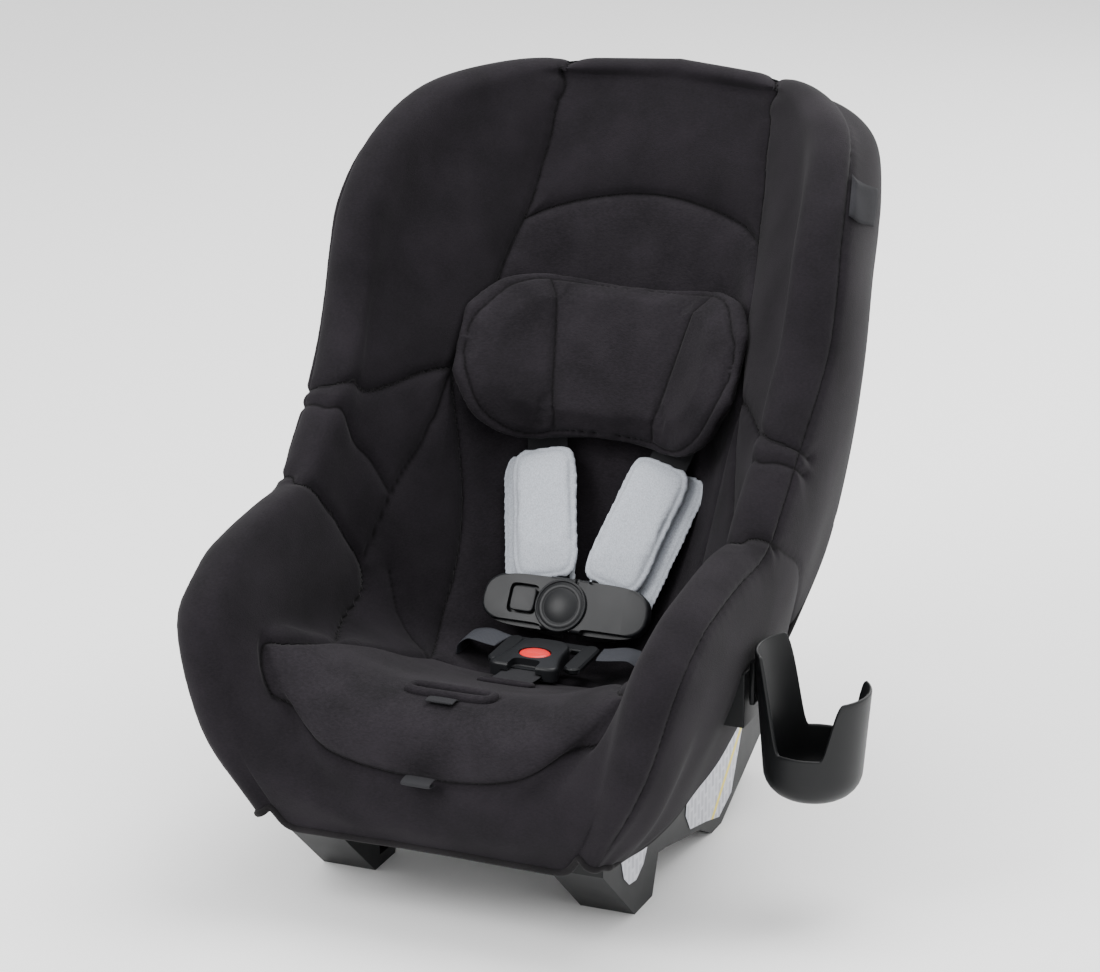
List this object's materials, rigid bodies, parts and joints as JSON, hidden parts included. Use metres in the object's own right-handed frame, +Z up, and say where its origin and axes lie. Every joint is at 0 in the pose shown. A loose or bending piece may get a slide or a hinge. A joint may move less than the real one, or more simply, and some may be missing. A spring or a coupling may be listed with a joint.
{
  "type": "convertible car seat",
  "caption": "Convertible child car seat: moulded bucket on runners, padded cover with side wings, five-point harness, head pillow and clip-on cup holder.",
  "frame": {"origin": "on the floor, in the middle of the rear rest bar between the runners", "axes": "+X to the child's left, +Y to the back of the seat, +Z up"},
  "size_m": [0.5437, 0.6192, 0.594],
  "materials": {
    "cover_fabric": "fine knitted polyester over foam, charcoal",
    "pad_fabric": "light grey heather knit over thin foam",
    "webbing": "woven polyester webbing",
    "eps_foam": "moulded expanded polystyrene",
    "black_plastic": "moulded polypropylene with a fine spark-eroded grain",
    "red_plastic": "moulded ABS",
    "steel": "zinc plated",
    "label_film": "printed film"
  },
  "bodies": {
    "root": {"seat_cushion": "cover_fabric", "back_pad": "cover_fabric", "front_skirt": "cover_fabric", "head_panel": "cover_fabric", "armrest_pad_left": "cover_fabric", "armrest_pad_right": "cover_fabric", "side_pad_left": "cover_fabric", "side_pad_right": "cover_fabric", "wing_pad_left": "cover_fabric", "wing_pad_right": "cover_fabric", "outer_panel_left": "cover_fabric", "outer_panel_right": "cover_fabric", "wing_foam_left": "eps_foam", "wing_foam_right": "eps_foam", "seat_shell": "black_plastic", "base_frame": "black_plastic", "chest_clip_right": "black_plastic", "buckle_housing": "black_plastic", "cup_holder_bracket": "black_plastic", "shoulder_strap_left": "webbing", "shoulder_strap_right": "webbing", "hip_strap_left": "webbing", "hip_strap_right": "webbing", "crotch_strap": "webbing", "adjuster_strap": "webbing", "front_loop": "webbing", "shoulder_pad_left": "pad_fabric", "shoulder_pad_right": "pad_fabric", "shoulder_pad_back_left": "pad_fabric", "shoulder_pad_back_right": "pad_fabric", "crotch_anchor_bar": "steel", "buckle_spring": "steel", "adjuster_frame": "steel", "splitter_plate": "steel", "base_screw_1": "steel", "base_screw_2": "steel", "base_screw_3": "steel", "base_screw_4": "steel", "side_label": "label_film", "foot_label": "label_film", "side_tag": "label_film"},
    "pillow": {"head_pillow": "cover_fabric"},
    "clip_left": {"chest_clip_left": "black_plastic"},
    "clip_button": {"chest_clip_button": "black_plastic"},
    "buckle_button": {"buckle_button": "red_plastic"},
    "tongue_left": {"buckle_tongue_left": "black_plastic"},
    "tongue_right": {"buckle_tongue_right": "black_plastic"},
    "adjuster_lever": {"adjuster_lever": "steel"},
    "cup_holder": {"cup_holder": "black_plastic"}
  },
  "joints": [
    {"name": "pillow_slide", "type": "slide", "parent": "root", "child": "pillow", "axis": [0, 0.361, 0.9326], "range_m": [0, 0.03]},
    {"name": "chest_clip_pull", "type": "slide", "parent": "root", "child": "clip_left", "axis": [1, 0, 0], "range_m": [0, 0.025]},
    {"name": "chest_clip_press", "type": "slide", "parent": "root", "child": "clip_button", "axis": [0, 0.8378, -0.5459], "range_m": [0, 0.002], "stiffness_N_per_m": 1500},
    {"name": "buckle_press", "type": "slide", "parent": "root", "child": "buckle_button", "axis": [0, 0.03, -0.9996], "range_m": [0, 0.003], "stiffness_N_per_m": 2500, "deforming": ["buckle_spring"]},
    {"name": "tongue_left_pull", "type": "slide", "parent": "root", "child": "tongue_left", "axis": [0, 0.9996, 0.03], "range_m": [0, 0.024]},
    {"name": "tongue_right_pull", "type": "slide", "parent": "root", "child": "tongue_right", "axis": [0, 0.9996, 0.03], "range_m": [0, 0.024]},
    {"name": "adjuster_press", "type": "hinge", "parent": "root", "child": "adjuster_lever", "pos_m": [0, -0.2281, 0.1677], "axis": [1, 0, 0], "range_deg": [0, 18], "stiffness_Nm_per_rad": 0.5},
    {"name": "cup_holder_lift", "type": "slide", "parent": "root", "child": "cup_holder", "axis": [0, 0, 1], "range_m": [0, 0.025]}
  ]
}
